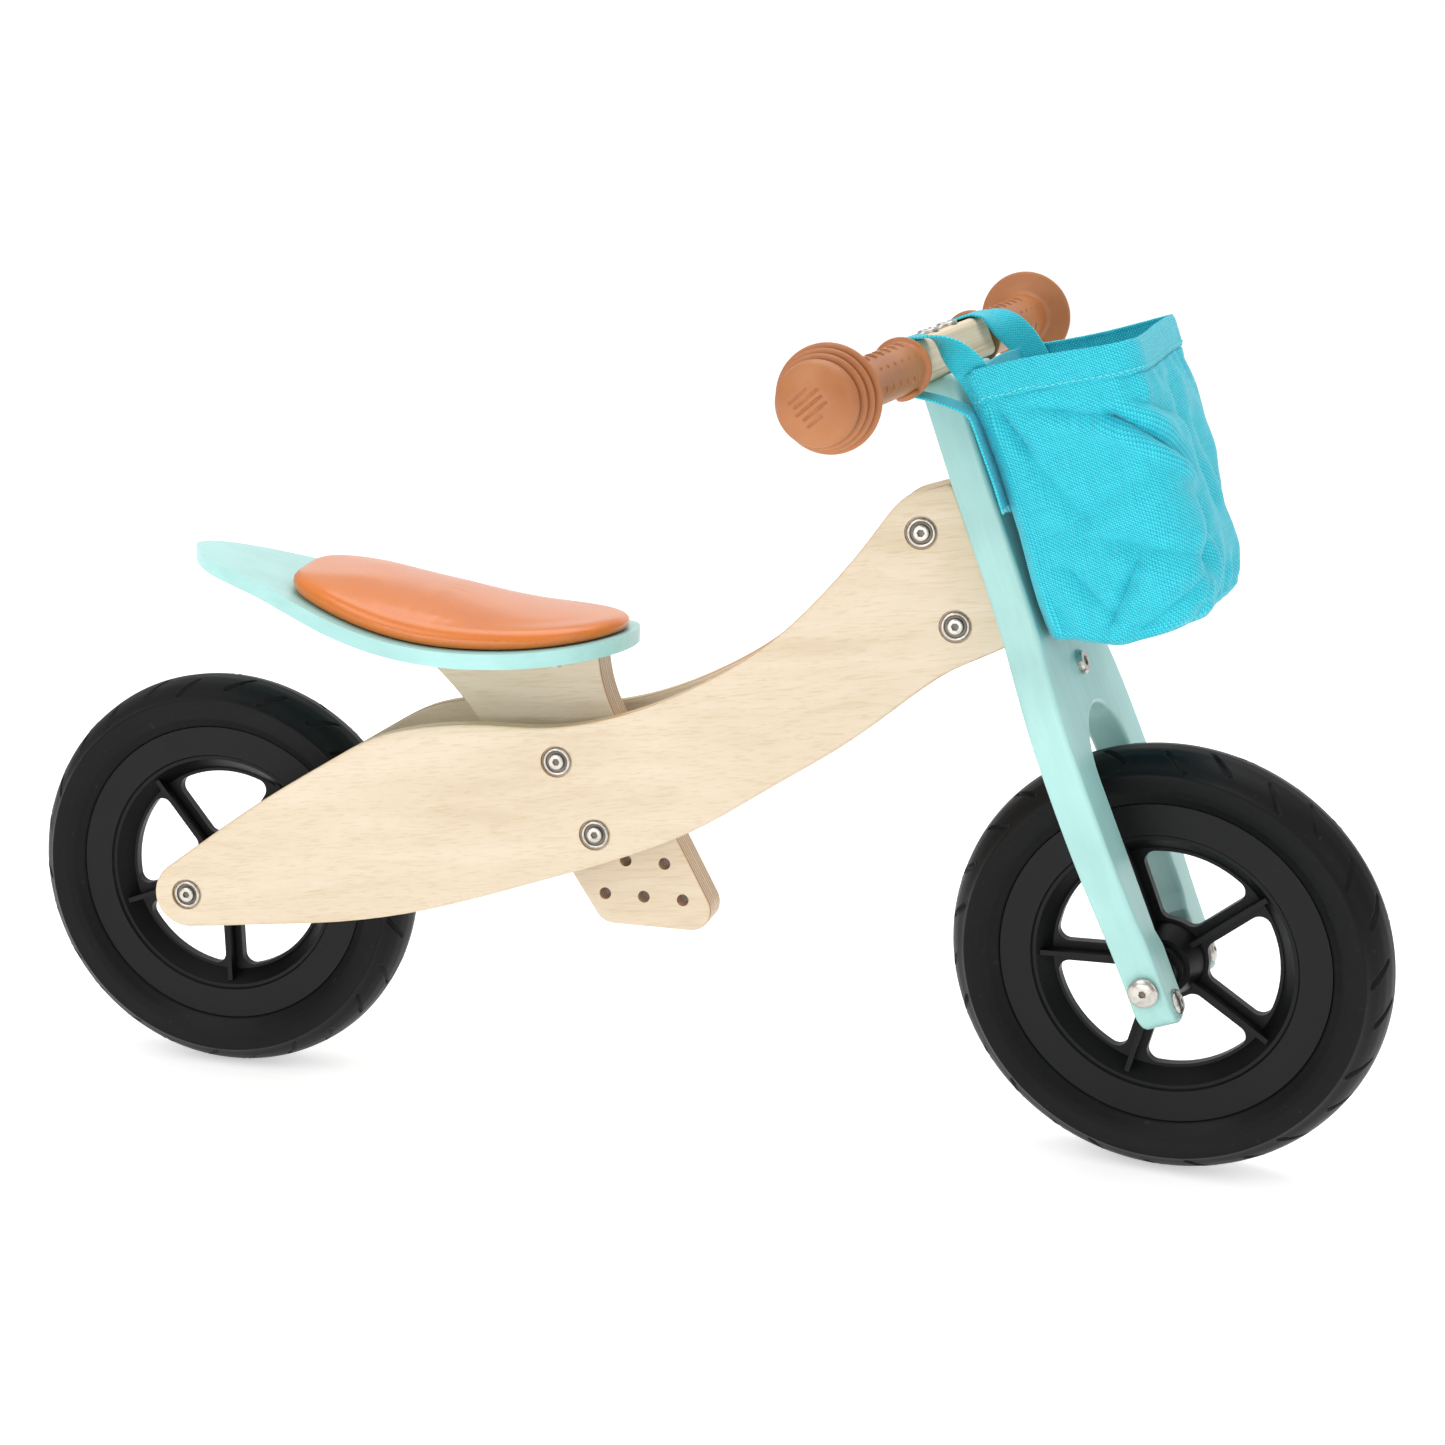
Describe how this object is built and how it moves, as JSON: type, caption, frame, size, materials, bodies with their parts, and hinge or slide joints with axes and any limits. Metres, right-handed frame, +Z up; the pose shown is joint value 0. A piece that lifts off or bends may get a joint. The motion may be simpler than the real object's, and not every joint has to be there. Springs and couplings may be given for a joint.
{
  "type": "toddler balance bike",
  "caption": "Wooden toddler balance bike with twin plywood frame panels, board fork, spoked wheels, adjustable padded seat, square handlebar with flanged grips and a soft front bag.",
  "frame": {"origin": "on the floor under the middle of the bike, midway between the two axles in the bike's middle plane", "axes": "+X forwards, +Y to the rider's left, +Z up"},
  "size_m": [0.831, 0.4169, 0.4984],
  "materials": {
    "birch_plywood": "satin",
    "handlebar_wood": "satin",
    "mint_plywood": "satin",
    "nickel_steel": "satin",
    "zinc_steel": "satin",
    "black_plastic": "matte",
    "black_tyre": "matte",
    "brown_leather": "satin",
    "brown_rubber": "matte",
    "turquoise_fabric": "matte",
    "turquoise_webbing": "matte"
  },
  "bodies": {
    "frame": {"frame_panel_right": "birch_plywood", "frame_panel_left": "birch_plywood", "head_block": "birch_plywood", "steering_bushes": "black_plastic", "head_bolts": "nickel_steel", "head_nuts": "nickel_steel", "seat_clamp_bolts": "nickel_steel", "seat_clamp_nuts": "nickel_steel", "seat_spacers": "black_plastic", "rear_axle_bolt": "nickel_steel", "rear_axle_nut": "nickel_steel", "rear_axle_spacers": "black_plastic"},
    "rear_wheel": {"rear_rim": "black_plastic", "rear_tyre": "black_tyre", "rear_bearings": "zinc_steel"},
    "steering": {"fork": "mint_plywood", "lower_yoke": "zinc_steel", "upper_yoke": "zinc_steel", "steering_pin": "nickel_steel", "steering_pin_nut": "nickel_steel", "yoke_bolts": "nickel_steel", "yoke_nuts": "nickel_steel", "fork_tip_bolts": "nickel_steel", "front_axle_bolt": "nickel_steel", "front_axle_nut": "nickel_steel", "front_axle_spacers": "black_plastic", "handlebar": "handlebar_wood", "handlebar_bolts": "nickel_steel", "right_grip": "brown_rubber", "left_grip": "brown_rubber", "bag": "turquoise_fabric", "bag_strap_right": "turquoise_webbing", "bag_strap_left": "turquoise_webbing"},
    "front_wheel": {"front_rim": "black_plastic", "front_tyre": "black_tyre", "front_bearings": "zinc_steel"},
    "seat_carrier": {"seat_post_washers": "nickel_steel"},
    "seat": {"seat_post": "birch_plywood", "seat_base": "mint_plywood", "seat_cushion": "brown_leather", "seat_bolt_cores": "nickel_steel", "seat_screws": "nickel_steel"}
  },
  "joints": [
    {"name": "rear_wheel_spin", "type": "hinge", "parent": "frame", "child": "rear_wheel", "pos_m": [-0.291, 0, 0.125], "axis": [0, 1, 0], "continuous": true},
    {"name": "steering_turn", "type": "hinge", "parent": "frame", "child": "steering", "pos_m": [0.17649, 0, 0.34837], "axis": [-0.3746, 0, 0.9272], "range_deg": [-22.2, 37.8]},
    {"name": "front_wheel_spin", "type": "hinge", "parent": "steering", "child": "front_wheel", "pos_m": [0.29081, -0.00305, 0.12492], "axis": [0.1258, 0.9907, 0.0508], "continuous": true},
    {"name": "seat_fore_aft", "type": "slide", "parent": "frame", "child": "seat_carrier", "axis": [1, 0, 0], "range_m": [-0.024, 0.024]},
    {"name": "seat_height", "type": "slide", "parent": "seat_carrier", "child": "seat", "axis": [-0.4726, 0, 0.8813], "range_m": [0, 0.0486]}
  ]
}
